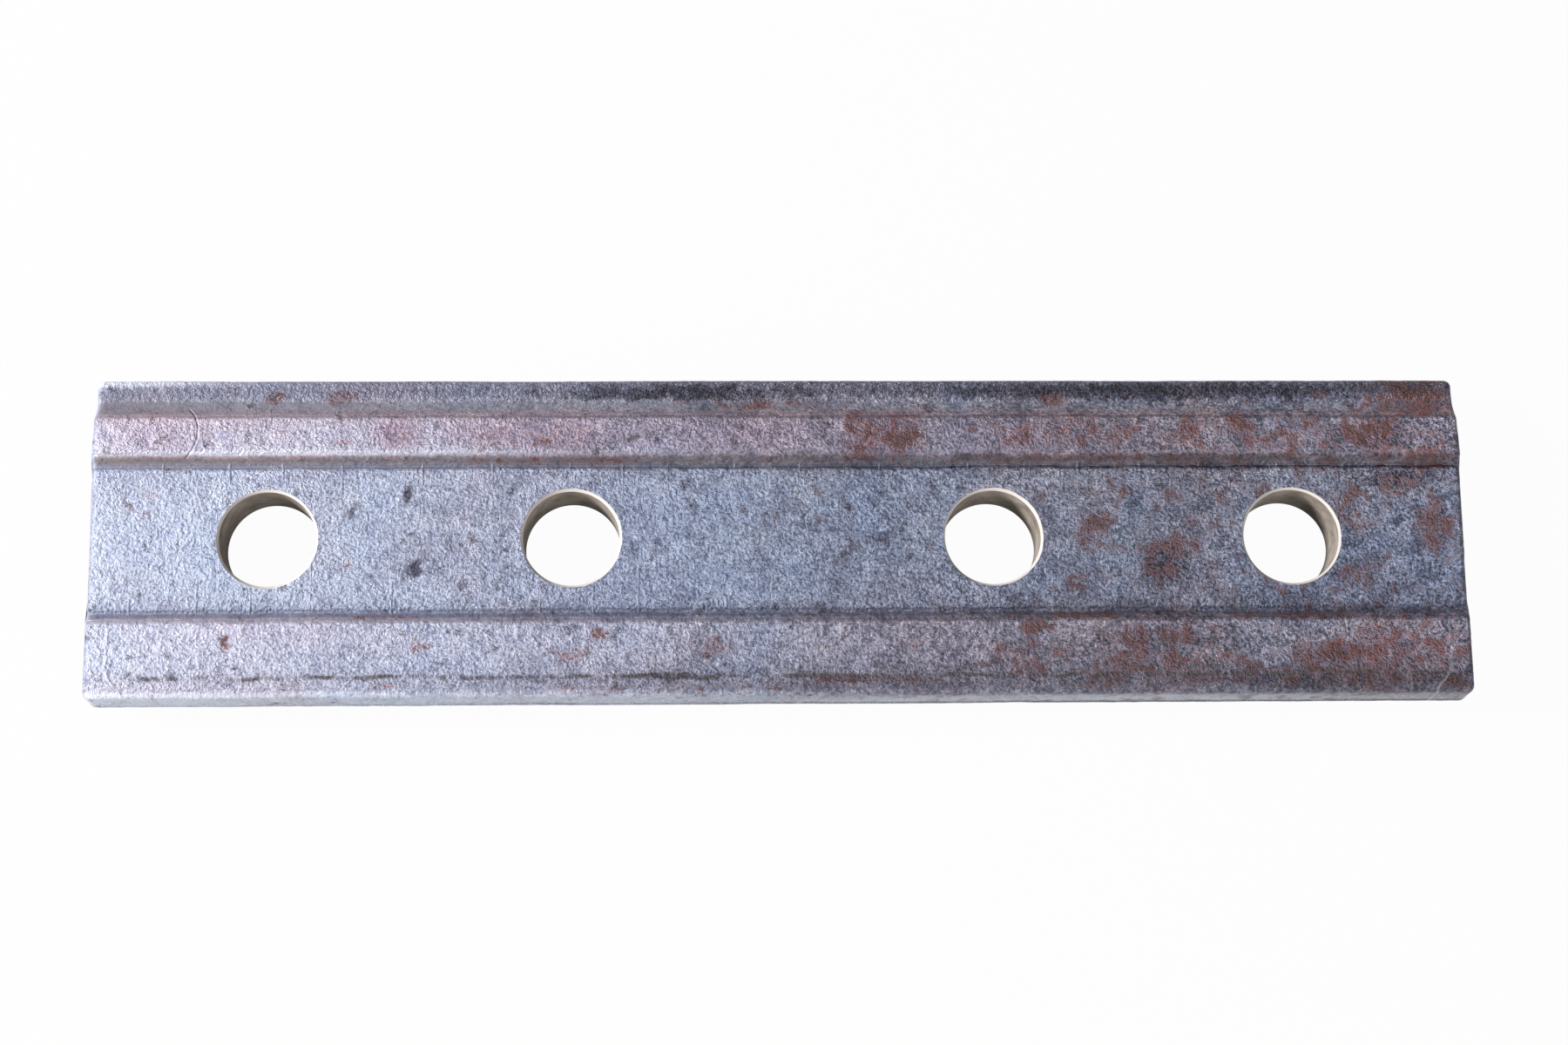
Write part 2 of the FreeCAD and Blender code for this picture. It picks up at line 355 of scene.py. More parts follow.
# Dents in the outer face: x, y, radius and depth in millimetres.
DENTS = (
    (-121.6, -11.5, 3.6, 1.40), (-117.5, -9.0, 2.4, 0.56), (-144, -10, 2.4, 0.70),
    (-136, 3, 2.6, 0.70), (-158, -21.5, 3.2, 0.56), (-188.6, 32.5, 2.8, 0.84), (-210, 33, 2.4, 0.70),
    (-182, -37, 2.4, 0.70), (-182.5, -45, 2.2, 0.98), (-180, -49.5, 2.0, 0.84), (-216, 12, 2.8, 0.56),
    (-98, -16, 2.4, 0.49), (127, -8, 3.4, 0.70), (113, -12, 2.8, 0.63), (-40, -45, 3.4, 0.56),
    (84, -32, 2.8, 0.56), (118, -35, 3.0, 0.56), (130, -35.5, 2.6, 0.56), (185, -40, 3.2, 0.56),
    (199, 34, 4.5, 0.56),
)


def press_dents(bar):
    """Press each dent into the outer face with a round falloff."""
    bpy.ops.object.mode_set(mode="EDIT")
    for x, y, radius, depth in DENTS:
        spot = Vector((x * MM, y * MM))
        outer = (v for v in bar.data.vertices if v.co.z > OUTER_SIDE)
        near = min(outer, key=lambda v: (v.co.xy - spot).length).index
        select_only(bar.data, "verts", lambda v: v.index == near)
        bpy.ops.transform.translate(
            value=(0, 0, -depth * MM), use_proportional_edit=True,
            proportional_edit_falloff="SPHERE", proportional_size=radius * MM,
        )
    bpy.ops.object.mode_set(mode="OBJECT")


def hole_cutter(sizes):
    """The tool that cuts one hole: a drill with a countersink at both faces. The countersinks are
    longer than the chamfers that they leave, and clear the face by some millimetres."""
    low, high = sizes.hollow_depth, sizes.web_level
    chamfer = sizes.hole_chamfer
    straight = high - low - 2 * chamfer
    bpy.ops.mesh.primitive_cylinder_add(
        vertices=HOLE_FACETS, radius=HOLE_RADIUS, depth=straight, end_fill_type="NGON",
        location=(0, 0, (low + high) / 2),
    )
    cutter = bpy.context.object
    mesh = cutter.data
    bpy.ops.object.transform_apply(location=True)
    bpy.ops.object.mode_set(mode="EDIT")
    flare, clearance = 3 * chamfer, 4 * MM
    grown = (HOLE_RADIUS + flare) / HOLE_RADIUS
    for level, away in ((high - chamfer, 1), (low + chamfer, -1)):
        select_only(mesh, "faces", lambda f: is_cap(f) and abs(f.calc_center_median().z - level) < CLOSE)
        bpy.ops.mesh.extrude_region_move(TRANSFORM_OT_translate={"value": (0, 0, away * flare)})
        bpy.ops.transform.resize(value=(grown, grown, 1), center_override=(0, 0, level))
        bpy.ops.mesh.extrude_region_move(TRANSFORM_OT_translate={"value": (0, 0, away * clearance)})
    bpy.ops.object.mode_set(mode="OBJECT")
    return cutter


def drill_holes(bar, sizes, bore_material):
    """Cut the four bolt holes out of the forged bar and leave their walls in drilled steel."""
    bpy.ops.object.select_all(action="DESELECT")
    first = hole_cutter(sizes)
    first.data.materials.append(bore_material)
    cutters = [first]
    for _ in HOLES[1:]:
        bpy.ops.object.duplicate()
        cutters.append(bpy.context.object)
    for cutter, mount in zip(cutters, HOLES):
        cutter.location = (mount["pos_m"][0], mount["pos_m"][1], 0)
        cutter.select_set(True)
    bpy.context.view_layer.objects.active = first
    bpy.ops.object.transform_apply(location=True)
    bpy.ops.object.join()
    bpy.ops.object.select_all(action="DESELECT")
    bar.select_set(True)
    bpy.context.view_layer.objects.active = bar
    bpy.ops.object.modifier_add(type="BOOLEAN")
    modifier = bar.modifiers[-1]
    modifier.operation = "DIFFERENCE"
    modifier.solver = "EXACT"
    modifier.object = first
    modifier.material_mode = "TRANSFER"
    bpy.ops.object.modifier_apply(modifier=modifier.name)
    bpy.data.objects.remove(first)


# Marks on the outer face, by kind: x and y of the middle and half-sizes in millimetres, strength.
# Each kind has a channel of its own in the paint, in this order: red-brown rust, bare dark scale,
# painted highlights along the edges, rose tint of thin oxide.
FACE_MARKS = {
    "rust": (
        # On the lip and in the cove.
        (-169, 48.5, 5, 3, 0.7), (-147.5, 48.2, 7, 3, 0.75), (-20, 46, 40, 2.5, 0.35),
        (91, 48, 4, 2.5, 0.7), (212, 48, 14, 7, 0.8),
        # On the band and its flank.
        (-181.5, 34, 1.6, 7, 0.4), (-145, 31, 4, 4, 0.4), (-128, 34, 6, 5, 0.35),
        (-80, 33, 30, 6, 0.25), (-75, 25.3, 40, 1.2, 0.5), (28, 34, 7, 9, 0.65), (40, 34, 8, 9, 0.65),
        (90, 34, 30, 7, 0.3), (100, 25.6, 90, 1.2, 0.4), (116, 36, 8, 4, 0.5), (137, 35, 4, 6, 0.6),
        (154, 35, 4, 6, 0.65), (180, 33, 45, 6, 0.25), (183, 24.8, 4, 0.8, 0.6),
        (199, 35, 10, 7, 0.85), (217, 26, 9, 3, 0.6),
        # On the web.
        (-210, 11, 8, 7, 0.35), (-164, 19.7, 5, 2, 0.35), (-144, -10, 4, 3, 0.35),
        (-136, 3, 4, 3, 0.35), (-105.7, 6.6, 3, 2, 0.4), (8, 10, 40, 10, 0.1), (98, -16, 3, 2.5, 0.6),
        (104, 3, 8, 9, 0.4), (127, -8, 14, 9, 0.3), (150, 12, 70, 12, 0.12), (150, -20, 70, 6, 0.1),
        (190, -15, 10, 5, 0.35), (191, 11, 6, 5, 0.55), (218, 2, 7, 8, 0.5),
        # On the flange.
        (-182, -37, 2, 4, 0.6), (-131, -50.5, 5, 1.6, 0.5), (-130, -27.6, 22, 1.0, 0.5),
        (-121, -37, 8, 5, 0.35), (-71, -40, 6, 3.5, 0.6), (-61, -34, 3, 3, 0.7), (-22, -38, 9, 4, 0.4),
        (-20, -51.5, 190, 1.2, 0.2), (26, -49, 24, 1.3, 0.7), (40, -38, 4, 2, 0.5),
        (80, -43, 16, 8, 0.3), (84, -31.8, 6, 2.4, 0.95), (95, -27.6, 16, 0.9, 1.0),
        (105, -49.5, 6, 2.4, 0.7), (114, -35.5, 5.5, 3.5, 0.8), (120, -44, 30, 6, 0.35),
        (129, -35.5, 6, 3.5, 0.85), (148, -43, 5, 2.5, 0.6), (160, -48, 60, 4, 0.3),
        (168, -27.8, 22, 0.8, 0.6), (182, -40.5, 14, 3, 0.8), (205, -40, 20, 10, 0.3),
        (209, -42, 3, 5, 0.4), (221, -50.5, 6, 2, 0.6),
    ),
    "bare": (
        (-66, 49.5, 12, 3, 0.4), (-34, 50, 46, 3.2, 0.6), (126, 50.5, 75, 3.2, 0.6),
        # The mark at x -121.6 mm lies over the deepest dent and is a painted shadow.
        (-191, 31.8, 1.6, 1.8, 0.5), (-124.5, 13.8, 1.3, 2.6, 0.9), (-121.6, -11, 2.2, 2.6, 0.8),
        (127, -10, 11, 8, 0.55), (207, 19, 16, 3.5, 0.6), (-207, -47.7, 6, 1.0, 0.6),
        (-37, -47.5, 14, 1.4, 0.6), (84, -31.8, 6, 2.4, 0.5), (115, -38, 40, 8, 0.25),
        (182, -40.5, 14, 3, 0.4),
    ),
    "pale": (
        # Painted highlights along the lip near the left end, the crown of the band and the toe.
        (-222, 54.2, 34, 1.6, 0.5), (-150, 28.2, 80, 0.9, 0.35), (-205, -54, 45, 1.6, 0.25),
        (-60, -54.6, 90, 0.9, 0.3), (100, -54.8, 150, 0.7, 0.4),
    ),
    "rose": (
        (-204, 34, 16, 8, 0.5), (-128, 34, 8, 7, 1.0), (-82, 34, 30, 7, 0.7), (-20, 34, 40, 7, 0.5),
        (34, 34, 14, 9, 0.8), (80, 34, 45, 8, 0.5), (-160, -32, 26, 5, 0.3),
    ),
}


def paint_marks(piece):
    """Paint the strength of each mark into its kind's channel, on the outer face only."""
    bpy.ops.geometry.color_attribute_add(
        name=MARKS, domain="POINT", data_type="FLOAT_COLOR", color=(0, 0, 0, 0)
    )
    mesh = piece.data
    count = len(mesh.vertices)
    places = np.empty(count * 3)
    mesh.vertices.foreach_get("co", places)
    places = places.reshape(count, 3) / MM
    paint = np.zeros((count, 4))
    outer = places[:, 2] > OUTER_SIDE / MM
    for layer, marks in enumerate(FACE_MARKS.values()):
        for x, y, wide, high, strength in marks:
            spread = ((places[:, 0] - x) / wide) ** 2 + ((places[:, 1] - y) / high) ** 2
            paint[:, layer] = np.maximum(paint[:, layer], outer * strength * np.exp(-(spread**1.5)))
    mesh.attributes[MARKS].data.foreach_set("color", paint.ravel())


# ---- Materials ----


def as_value(value):
    """A setting as it is, or the linear colour of an sRGB hex value."""
    return linear(value) if isinstance(value, str) else value


def add_node(tree, kind, inputs=None, out=0, stops=None, **settings):
    """Add a node, set its properties, set or link its inputs, set the stops of its ramp, and give
    back one of its outputs. Colours may be sRGB hex values."""
    node = tree.nodes.new("ShaderNode" + kind)
    for key, value in settings.items():
        setattr(node, key, value)
    for key, value in (inputs or {}).items():
        if isinstance(value, bpy.types.NodeSocket):
            tree.links.new(value, node.inputs[key])
        else:
            node.inputs[key].default_value = as_value(value)
    if stops:
        ramp = node.color_ramp
        ramp.elements.remove(ramp.elements[-1])
        ramp.elements[0].position = stops[0][0]
        ramp.elements[0].color = as_value(stops[0][1])
        for share, colour in stops[1:]:
            ramp.elements.new(share).color = as_value(colour)
    return None if out is None else node.outputs[out]


# Settings that many nodes share: a colour mix, one that multiplies, a soft border, and a sum of the
# third input and the product of the first two.
BLEND = {"out": 2, "data_type": "RGBA"}
MULTIPLY = {**BLEND, "blend_type": "MULTIPLY"}
SOFT = {"interpolation_type": "SMOOTHSTEP"}
SUM = {"operation": "MULTIPLY_ADD"}


def new_material(name):
    """An empty node material and its tree."""
    material = bpy.data.materials.new(name)
    material.use_nodes = True
    material.node_tree.nodes.clear()
    return material, material.node_tree


def along(stops):
    """Ramp stops given in millimetres, from the first to the last, as stops from 0 to 1."""
    low, high = stops[0][0], stops[-1][0]
    return [((place - low) / (high - low), code) for place, code in stops]


# Tint of the scale up the height of the plate, as (y in millimetres, colour), at the clean left
# end and at the worn right end. The dark stops on the flanks of the channel are painted shade.
CLEAN_TINTS = (
    # Toe and flange. The white of the toe at the clean end is pale trimmed steel and painted light.
    (-55.0, "#ffffff"), (-53.6, "#ffffff"), (-52.2, "#e6e0e4"), (-49.5, "#d6d2d8"), (-44.0, "#d9dbe3"),
    # Lower flank of the channel, darkened by painted shade in the crease at its foot.
    (-30.4, "#dad9e1"), (-29.2, "#d8ced3"), (-28.3, "#b8aeb4"), (-27.6, "#918d95"), (-26.4, "#8d8f9d"),
    (-25.4, "#a0a2b0"),
    # Web.
    (-24.2, "#c2c6d0"), (-20.0, "#d6d8e0"), (12.0, "#d5d7df"), (22.9, "#cccdd7"),
    # Upper flank of the channel, darkened by painted shade under the band.
    (23.5, "#acaab2"), (24.1, "#827e86"), (24.6, "#9c9498"), (25.2, "#90847f"), (25.9, "#9a8882"),
    (26.5, "#ac968f"), (27.2, "#ccbebd"),
    # Band.
    (28.2, "#dbd1d6"), (36.0, "#dacdd2"), (40.3, "#dcc8ca"),
    # Cove.
    (41.0, "#c6acac"), (41.8, "#ac9497"), (42.8, "#998d8e"), (46.0, "#938b8e"),
    # Lip.
    (48.6, "#8a8791"), (51.0, "#8c8894"), (55.0, "#b0acb6"),
)
WORN_TINTS = (
    # Toe and flange.
    (-55.0, "#a49b9d"), (-53.4, "#9c9296"), (-52.4, "#a0969a"), (-49.5, "#a0969c"), (-46.0, "#c4babc"),
    (-42.0, "#ecdfe0"),
    # Lower flank of the channel, darkened by painted shade in the crease at its foot.
    (-30.4, "#fff5f3"), (-29.2, "#ecd9d8"), (-28.3, "#c4b4b6"), (-27.6, "#aea6aa"), (-26.4, "#b0adb6"),
    (-25.4, "#c4c4ce"),
    # Web.
    (-24.2, "#e4e7ef"), (-20.0, "#eaf2fc"), (12.0, "#f0f8ff"), (22.9, "#ffffff"),
    # Upper flank of the channel, darkened by painted shade under the band.
    (23.5, "#bab6ba"), (24.1, "#868084"), (24.6, "#988e90"), (25.2, "#8a8082"), (25.9, "#8e8080"),
    (26.5, "#988888"), (27.2, "#cebebc"),
    # Band.
    (28.2, "#fbeeee"), (40.3, "#fff0ee"),
    # Cove.
    (41.0, "#ffe0d8"), (42.0, "#ffe6de"), (43.6, "#fff4f0"), (46.0, "#fffaf8"),
    # Lip.
    (48.6, "#fff8fa"), (51.0, "#b0aab0"), (55.0, "#beb8be"),
)

# Drift of the scale along the plate, together with painted light that falls off from the left end towards the
# right, as (x in millimetres, colour).
LENGTH_TINTS = (
    (-228.0, "#ffffff"), (-165.0, "#fdfeff"), (-120.0, "#eff0f3"), (-70.0, "#e8e8ec"), (-22.0, "#d9dce1"),
    (25.0, "#cdd0d6"), (74.0, "#cecfd4"), (123.0, "#cecfd3"), (169.0, "#d1d0d3"), (228.0, "#e8e2e3"),
)

# How rough the scale is up the plate, as (y in millimetres, grey): the toe, the flanks of the
# channel and the cove are smoother than the rest.
RELIEF_BANDS = (
    # Toe and flange.
    (-55.0, "#909090"), (-52.6, "#909090"), (-51.0, "#ececec"),
    # Lower flank of the channel.
    (-29.8, "#ececec"), (-28.4, "#808080"), (-25.6, "#808080"),
    # Web.
    (-24.4, "#ffffff"), (22.6, "#ffffff"),
    # Upper flank of the channel.
    (23.6, "#6a6a6a"), (27.4, "#7a7a7a"),
    # Band.
    (28.6, "#e4e4e4"), (40.2, "#e0e0e0"),
    # Cove.
    (41.2, "#808080"), (47.0, "#7a7a7a"),
    # Lip.
    (49.0, "#c8c8c8"), (55.0, "#c0c0c0"),
)


# Patterns of the scale, from the finest to the widest: size in millimetres, detail, roughness and
# distortion of grit, crumbs, flakes, stains, lumps, blotches and drifts.
PATTERNS = (
    (0.6, 1.0, 0.6, 0.0), (1.1, 3.0, 0.7, 0.0), (2.2, 3.0, 0.6, 0.0), (6, 6.0, 0.72, 0.0),
    (9, 2.0, 0.5, 0.4), (14, 6.0, 0.68, 0.3), (42, 3.0, 0.6, 0.0),
)
# Size of the chips, in millimetres, and how strongly crumbs, lumps and again crumbs bend their
# edges along X, Y and Z.
CHIP, CHIP_BEND = 2.8, (0.8, 4.0, 0.8)
# How far the drifts move the change from clean to worn scale along the plate.
WEAR_SWAY = 120.0
# The outer face's tints start between these levels, and end between these distances from the
# middle of the plate.
TINT_LEVELS = (9.0, 13.0)
TINT_REACH = (227.8, 226.6)
# Tint of the scale where the outer face's tints don't reach.
PLAIN_TINT = "#b3b1b9"

# The line left by the trimming die: its height, how far the lumps sway it, half its width with and
# without its soft border, the size of its gaps, and the stretch in which its fainter left end passes
# into the rest.
TRIM_LINE, TRIM_SWAY = -47.7, 2.4
TRIM_WIDTHS = (0.95, 0.25)
TRIM_GAP = 14
TRIM_START = (-178.0, -162.0)

# Hairline ridges across the web: middle of the web, its edges from there, the mean spacing, how far
# the crumbs sway them and their half-widths as shares of the spacing. Then, for those that hang from
# the band and those that rise from the flange, a shift along the plate, the foot and the reach.
WEB_MIDDLE, WEB_EDGES = -0.7, (25.8, 24.8)
RIDGE_SPACING, RIDGE_SWAY, RIDGE_WIDTHS = 22, 1.4, (0.022, 0.004)
RIDGES = ((40.37, 24.5, -14.0), (40.81, -26.0, 22.0))

# The curved scratch near the left end of the band: centre and radius of its arc, the stretch along
# the plate in which it starts, and half its width with and without its soft border.
SCRATCH_CENTRE, SCRATCH_RADIUS = (-207.0, 35.5, 23.5), 13.5
SCRATCH_START, SCRATCH_WIDTHS = (-197.5, -196.0), (0.55, 0.1)

# The shear burr near each end of the flange: distance from the middle, how far the stains sway it,
# the heights between which it bends away from the end and by how much, its upper end, and its
# half-widths.
BURR_LINE, BURR_SWAY = 220.7, 5.0
BURR_BEND, BURR_SHIFT = (-46.0, -54.0), 5.0
BURR_TOP, BURR_WIDTHS = (-28.5, -30.5), (0.9, 0.2)

# The trimmed toe starts between these heights, and its strokes are this far apart.
TOE_TOP = (-51.6, -53.0)
STROKE_SPACING = 0.8


def trimming_line(tree, x, y, lumps):
    """Where the dark line of the trimming die runs along the flange, with its gaps."""
    off = add_node(tree, "Math", {0: lumps, 1: TRIM_SWAY, 2: y}, **SUM)
    off = add_node(tree, "Math", {0: off, 1: TRIM_LINE + TRIM_SWAY / 2}, operation="SUBTRACT")
    off = add_node(tree, "Math", {0: off}, operation="ABSOLUTE")
    line = add_node(tree, "MapRange", {0: off, 1: TRIM_WIDTHS[0], 2: TRIM_WIDTHS[1]})
    gaps = add_node(
        tree, "TexNoise", {"W": x, "Scale": 1 / TRIM_GAP, "Detail": 4.0, "Roughness": 0.65},
        noise_dimensions="1D",
    )
    onset = add_node(tree, "MapRange", {0: x, 1: TRIM_START[0], 2: TRIM_START[1], 3: 0.07, 4: 0.0})
    gaps = add_node(tree, "Math", {0: gaps, 1: onset}, operation="SUBTRACT")
    gaps = add_node(tree, "MapRange", {0: gaps, 1: 0.4, 2: 0.54})
    return add_node(tree, "Math", {0: line, 1: gaps}, operation="MULTIPLY")


def die_ridges(tree, x, y, crumbs):
    """Where hairline ridges cross the web, left by cracks in the die: some hang from the band and
    some rise from the flange."""
    wavy = add_node(tree, "Math", {0: crumbs, 1: RIDGE_SWAY, 2: x}, **SUM)
    ridges = None
    for shift, foot, reach in RIDGES:
        place = add_node(tree, "Math", {0: wavy, 1: 1 / RIDGE_SPACING, 2: shift}, **SUM)
        line = add_node(
            tree, "TexVoronoi", {"W": place, "Scale": 1.0},
            voronoi_dimensions="1D", feature="DISTANCE_TO_EDGE",
        )
        line = add_node(tree, "MapRange", {0: line, 1: RIDGE_WIDTHS[0], 2: RIDGE_WIDTHS[1]})
        tall = add_node(tree, "TexNoise", {"W": place, "Scale": 1.7, "Detail": 0.0}, noise_dimensions="1D")
        tall = add_node(tree, "MapRange", {0: tall, 1: 0.3, 2: 0.75, 3: foot + reach * 0.15, 4: foot + reach})
        tall = add_node(tree, "MapRange", {0: y, 1: tall, 2: foot})
        tall = add_node(tree, "Math", {0: tall, 1: 4.0}, operation="MULTIPLY", use_clamp=True)
        line = add_node(tree, "Math", {0: line, 1: tall}, operation="MULTIPLY")
        ridges = line if ridges is None else add_node(tree, "Math", {0: ridges, 1: line}, operation="MAXIMUM")
    web = add_node(tree, "Math", {0: y, 1: WEB_MIDDLE}, operation="SUBTRACT")
    web = add_node(tree, "Math", {0: web}, operation="ABSOLUTE")
    web = add_node(tree, "MapRange", {0: web, 1: WEB_EDGES[0], 2: WEB_EDGES[1]})
    return add_node(tree, "Math", {0: ridges, 1: web}, operation="MULTIPLY")


def curved_scratch(tree, here, x):
    """Where the curved scratch near the left end of the band lies."""
    arc = add_node(tree, "VectorMath", {0: here, 1: SCRATCH_CENTRE}, out="Value", operation="DISTANCE")
    arc = add_node(tree, "Math", {0: arc, 1: SCRATCH_RADIUS}, operation="SUBTRACT")
    arc = add_node(tree, "Math", {0: arc}, operation="ABSOLUTE")
    arc = add_node(tree, "MapRange", {0: arc, 1: SCRATCH_WIDTHS[0], 2: SCRATCH_WIDTHS[1]}, **SOFT)
    side = add_node(tree, "MapRange", {0: x, 1: SCRATCH_START[0], 2: SCRATCH_START[1]})
    return add_node(tree, "Math", {0: arc, 1: side}, operation="MULTIPLY")


def shear_burr(tree, x, y, stains):
    """Where the burr of the shear runs down the flange near each end, bending away from the end
    over the toe."""
    bow = add_node(tree, "MapRange", {0: y, 1: BURR_BEND[0], 2: BURR_BEND[1], 3: 0.0, 4: BURR_SHIFT}, **SOFT)
    burr = add_node(tree, "Math", {0: x}, operation="ABSOLUTE")
    burr = add_node(tree, "Math", {0: stains, 1: BURR_SWAY, 2: burr}, **SUM)
    burr = add_node(tree, "Math", {0: burr, 1: bow}, operation="ADD")
    burr = add_node(tree, "Math", {0: burr, 1: BURR_LINE + BURR_SWAY / 2}, operation="SUBTRACT")
    burr = add_node(tree, "Math", {0: burr}, operation="ABSOLUTE")
    burr = add_node(tree, "MapRange", {0: burr, 1: BURR_WIDTHS[0], 2: BURR_WIDTHS[1]}, **SOFT)
    low = add_node(tree, "MapRange", {0: y, 1: BURR_TOP[0], 2: BURR_TOP[1]})
    return add_node(tree, "Math", {0: burr, 1: low}, operation="MULTIPLY")


def toe_strokes(tree, here, y):
    """Fine strokes down the trimmed toe, drawn wider apart than in life so that they show."""
    toe = add_node(tree, "MapRange", {0: y, 1: TOE_TOP[0], 2: TOE_TOP[1]}, **SOFT)
    grid = (1 / STROKE_SPACING, 0.06, 0.06)
    strokes = add_node(tree, "VectorMath", {0: here, 1: grid}, operation="MULTIPLY")
    strokes = add_node(tree, "TexNoise", {"Vector": strokes, "Scale": 1.0, "Detail": 2.0})
    return add_node(tree, "Math", {0: strokes, 1: toe}, operation="MULTIPLY")


def scale_material(finish):
    """Hot-forged steel under mill scale: a blue-grey, faintly shiny skin of crumbs and chips, with
    painted highlights where it stands proud and painted shade in its pits, and thin brown-red rust in blotches."""
    material, tree = new_material("hot_forged_steel_mill_scale")
    here = add_node(tree, "TexCoord", out="Object")
    here = add_node(tree, "VectorMath", {0: here, "Scale": 1 / MM}, operation="SCALE")
    x, y, z = (add_node(tree, "SeparateXYZ", {0: here}, out=axis) for axis in "XYZ")
    pale = tuple(finish.scale_pale)

    grit, crumbs, flakes, stains, lumps, blotches, drifts = (
        add_node(tree, "TexNoise", {
            "Vector": here, "Scale": 1 / size, "Detail": detail, "Roughness": rough, "Distortion": warp,
        })
        for size, detail, rough, warp in PATTERNS
    )

    # Chips of scale, each at its own level, with edges bent by the lumps and the crumbs.
    bend = add_node(tree, "CombineXYZ", {0: crumbs, 1: lumps, 2: crumbs})
    bent = add_node(tree, "VectorMath", {0: bend, 1: CHIP_BEND, 2: here}, **SUM)
    chips = add_node(tree, "TexVoronoi", {"Vector": bent, "Scale": 1 / CHIP}, out="Color")
    chips = add_node(tree, "SeparateColor", {0: chips})

    # How far down the plate a point lies, from the clean left end at 0 to the worn right end at 1.
    first, last = (tint[0] + WEAR_SWAY / 2 for tint in (LENGTH_TINTS[0], LENGTH_TINTS[-1]))
    down = add_node(tree, "Math", {0: drifts, 1: WEAR_SWAY, 2: x}, **SUM)
    down = add_node(tree, "MapRange", {0: down, 1: first, 2: last})
    weather = add_node(tree, "Math", {0: down, 1: 0.3}, operation="MULTIPLY")

    # Painted marks say how much of the scale each stain takes; the stain noise says where.
    paint = add_node(tree, "Attribute", out="Color", attribute_type="GEOMETRY", attribute_name=MARKS)
    rose = add_node(tree, "Attribute", out="Alpha", attribute_type="GEOMETRY", attribute_name=MARKS)
    rust_share, dark_share, pale_share = (
        add_node(tree, "SeparateColor", {0: paint}, out=channel) for channel in range(3)
    )
    ragged = add_node(tree, "MapRange", {0: stains, 1: 0.3, 2: 0.7}, clamp=False)
    ragged = add_node(tree, "Math", {0: grit, 1: 0.5, 2: ragged}, **SUM)
    bare = add_node(tree, "Math", {0: dark_share, 1: 0.75, 2: ragged}, **SUM)
    bare = add_node(tree, "Math", {0: weather, 1: 0.7, 2: bare}, **SUM)
    bare = add_node(tree, "MapRange", {0: bare, 1: 0.98, 2: 1.35}, **SOFT)

    # Tone of the scale: mostly level, with pits darkened by painted shade and crumbs lightened by painted
    # highlights, both ending sharply. Where it is worn, the painted shade in the pits is deeper and the crumbs
    # carry white painted glints.
    tone = add_node(tree, "Math", {0: crumbs, 1: 0.48}, operation="MULTIPLY")
    for pattern, share in ((grit, 0.12), (stains, 0.34), (chips, 0.06)):
        tone = add_node(tree, "Math", {0: pattern, 1: share, 2: tone}, **SUM)
    level = add_node(tree, "MapRange", {0: tone, 1: 0.37, 2: 0.63})
    colour = add_node(tree, "ValToRGB", {0: level}, stops=(
        (0.0, "#888da3"), (0.2, "#a1a6b8"), (0.36, "#b5bac8"),
        (0.5, tuple(finish.scale_mid)), (0.78, "#c1c6d1"), (1.0, "#ced2dc"),
    ))
    worn_shade_and_glints = add_node(tree, "ValToRGB", {0: level}, stops=(
        (0.0, tuple(finish.scale_dark)), (0.3, "#4e505c"), (0.5, "#9b9fad"),
        (0.64, "#ccd1de"), (0.8, "#ffffff"),
    ))
    wear = add_node(tree, "Math", {0: down, 1: 0.85, 2: bare}, operation="MULTIPLY_ADD", use_clamp=True)
    colour = add_node(tree, "Mix", {0: wear, 6: colour, 7: worn_shade_and_glints}, **BLEND)

    # Tints up the plate and along it, with painted shade on the flanks of the channel and painted light
    # falling off along the plate. The borders wander by about 0.4 mm, so none looks ruled.
    # They keep to the outer side: the fishing faces, the rail side and the cut ends are plain.
    outer = add_node(tree, "MapRange", {0: z, 1: TINT_LEVELS[0], 2: TINT_LEVELS[1]}, **SOFT)
    ends = add_node(tree, "Math", {0: x}, operation="ABSOLUTE")
    ends = add_node(tree, "MapRange", {0: ends, 1: TINT_REACH[0], 2: TINT_REACH[1]}, **SOFT)
    outer = add_node(tree, "Math", {0: outer, 1: ends}, operation="MULTIPLY")
    wander = add_node(tree, "Math", {0: crumbs, 1: 0.4, 2: lumps}, **SUM)
    wander = add_node(tree, "Math", {0: wander, 1: 1.2, 2: -0.85}, **SUM)
    up = add_node(tree, "Math", {0: y, 1: wander}, operation="ADD")
    up = add_node(tree, "MapRange", {0: up, 1: CLEAN_TINTS[0][0], 2: CLEAN_TINTS[-1][0]})
    clean = add_node(tree, "ValToRGB", {0: up}, stops=along(CLEAN_TINTS))
    tint = add_node(tree, "ValToRGB", {0: up}, stops=along(WORN_TINTS))
    tint = add_node(tree, "Mix", {0: down, 6: clean, 7: tint}, **BLEND)
    tint = add_node(tree, "Mix", {0: outer, 6: PLAIN_TINT, 7: tint}, **BLEND)
    # Painted light falling off from the left end towards the right, with the drift of the scale.
    drift_and_painted_falloff = add_node(tree, "ValToRGB", {0: down}, stops=along(LENGTH_TINTS))
    tint = add_node(tree, "Mix", {0: 1.0, 6: drift_and_painted_falloff, 7: tint}, **MULTIPLY)
    colour = add_node(tree, "Mix", {0: 1.0, 6: colour, 7: tint}, **MULTIPLY)

